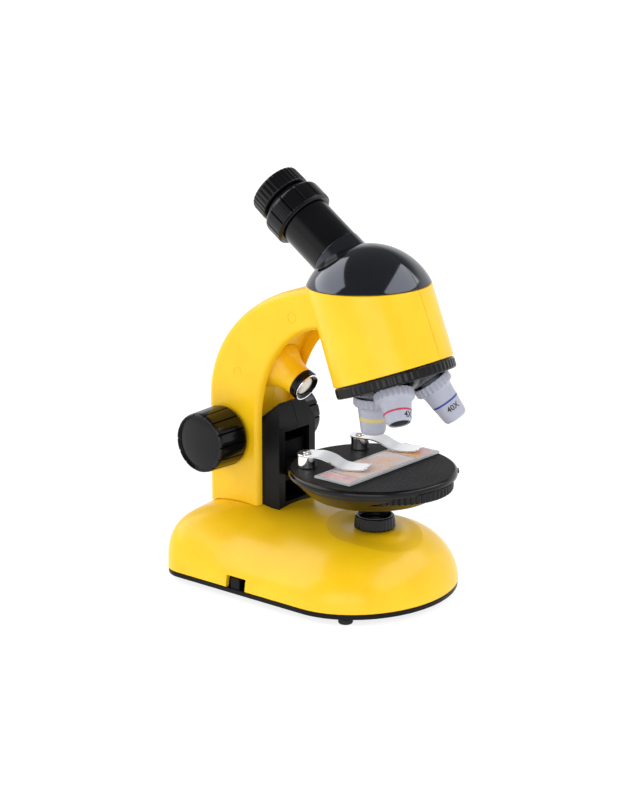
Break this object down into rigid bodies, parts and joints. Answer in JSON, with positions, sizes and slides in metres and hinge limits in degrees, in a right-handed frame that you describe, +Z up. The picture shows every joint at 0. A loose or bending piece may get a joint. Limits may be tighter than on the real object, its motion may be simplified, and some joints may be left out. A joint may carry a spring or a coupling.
{
  "type": "kids microscope",
  "caption": "Upright children's microscope: domed base, C-shaped arm, leaning head with an objective turret, slanted eyepiece, round stage with clips, focus knobs and lamps.",
  "frame": {"origin": "middle of the whole object's bounding box in plan, on the surface its feet stand on", "axes": "+Z up, +X from the arm towards the stage and the head, -Y the side with the light switch"},
  "size_m": [0.148, 0.1066, 0.219],
  "materials": {
    "yellow_shell": "smooth moulded yellow ABS with a soft gloss",
    "black_gloss": "polished black ABS",
    "black_satin": "fine-textured black ABS",
    "grey_objective": "pale silver-grey plastic",
    "chrome": "bright nickel plate",
    "steel": "plain zinc-plated steel",
    "rubber": "matt black rubber",
    "clear": "clear and polished",
    "lamp_white": "milky lens plastic",
    "battery": "plain dark wrapper, no markings",
    "mirror": "front-silvered"
  },
  "bodies": {
    "stand": {"base_shell": "yellow_shell", "base_plate": "black_satin", "base_screw_1": "steel", "base_screw_2": "steel", "base_screw_3": "steel", "base_screw_4": "steel", "foot_1": "rubber", "foot_2": "rubber", "foot_3": "rubber", "foot_4": "rubber", "battery_door": "black_satin", "battery_door_screw": "steel", "battery_1": "battery", "battery_2": "battery", "battery_spring_1": "steel", "battery_spring_2": "steel", "illuminator_led": "lamp_white", "arm_shell_near": "yellow_shell", "arm_shell_far": "yellow_shell", "arm_screw_1": "steel", "arm_screw_2": "steel", "dome_near": "black_gloss", "dome_far": "black_gloss", "slider_guide_near": "black_satin", "slider_guide_far": "black_satin", "eyepiece_tube": "black_gloss", "mirror": "mirror", "mirror_holder": "black_satin", "turret_screw": "steel", "lamp_housing": "yellow_shell", "lamp_ring": "black_gloss", "lamp_bezel": "chrome", "lamp_lens": "lamp_white", "lamp_led": "lamp_white"},
    "stage_carrier": {"stage_slider": "black_satin", "stage": "black_satin", "stage_bowl": "black_gloss", "clip_post_near": "chrome", "clip_post_far": "chrome"},
    "focus": {"pinion_shaft": "black_satin", "focus_knob_near": "black_gloss", "focus_knob_far": "black_gloss"},
    "turret": {"turret": "black_gloss", "objective_10x": "grey_objective", "objective_4x": "grey_objective", "objective_40x": "grey_objective", "objective_lens_10x": "clear", "objective_lens_4x": "clear", "objective_lens_40x": "clear"},
    "aperture_wheel": {"aperture_wheel": "black_satin"},
    "clip_near": {"stage_clip_near": "chrome"},
    "clip_far": {"stage_clip_far": "chrome"},
    "slide": {"specimen_slide": "clear"},
    "eyepiece": {"eyecup": "black_gloss", "eye_lens": "clear", "field_lens": "clear"},
    "zoom_collar": {"eyepiece_collar": "black_gloss"},
    "illuminator": {"illuminator_cup": "black_gloss", "illuminator_lens": "clear"},
    "switch": {"light_switch": "black_satin"}
  },
  "joints": [
    {"name": "stage_lift", "type": "slide", "parent": "stand", "child": "stage_carrier", "axis": [0, 0, 1], "range_m": [-0.007, 0.008]},
    {"name": "focus_knob", "type": "hinge", "parent": "stand", "child": "focus", "pos_m": [-0.0546, 0, 0.0752], "axis": [0, -1, 0], "range_deg": [-68, 78]},
    {"name": "turret_turn", "type": "hinge", "parent": "stand", "child": "turret", "pos_m": [0.0427, 0, 0.1226], "axis": [0.3551, 0, -0.9348], "continuous": true},
    {"name": "aperture_turn", "type": "hinge", "parent": "stage_carrier", "child": "aperture_wheel", "pos_m": [0.0419, 0, 0.0629], "axis": [0, 0, 1], "continuous": true},
    {"name": "clip_near_turn", "type": "hinge", "parent": "stage_carrier", "child": "clip_near", "pos_m": [0.0037, -0.0215, 0.0764], "axis": [0, 0, 1], "range_deg": [-75, 5]},
    {"name": "clip_far_turn", "type": "hinge", "parent": "stage_carrier", "child": "clip_far", "pos_m": [0.0037, 0.0215, 0.0764], "axis": [0, 0, 1], "range_deg": [-40, 60]},
    {"name": "slide_shift", "type": "slide", "parent": "stage_carrier", "child": "slide", "axis": [0, 1, 0], "range_m": [-0.02, 0.02]},
    {"name": "eyepiece_turn", "type": "hinge", "parent": "stand", "child": "eyepiece", "pos_m": [0.0076, 0, 0.1767], "axis": [-0.8189, 0, 0.5739], "continuous": true},
    {"name": "zoom_turn", "type": "hinge", "parent": "stand", "child": "zoom_collar", "pos_m": [0.0076, 0, 0.1767], "axis": [-0.8189, 0, 0.5739], "range_deg": [-60, 60]},
    {"name": "illuminator_twist", "type": "hinge", "parent": "stand", "child": "illuminator", "pos_m": [0.0312, 0, 0.0375], "axis": [0, 0, 1], "range_deg": [0, 60]},
    {"name": "switch_slide", "type": "slide", "parent": "stand", "child": "switch", "axis": [1, 0, 0], "range_m": [0, 0.003]}
  ],
  "couplings": [
    {"joint": "focus_knob", "follows": "stage_lift", "rad_per_m": 166.67}
  ]
}
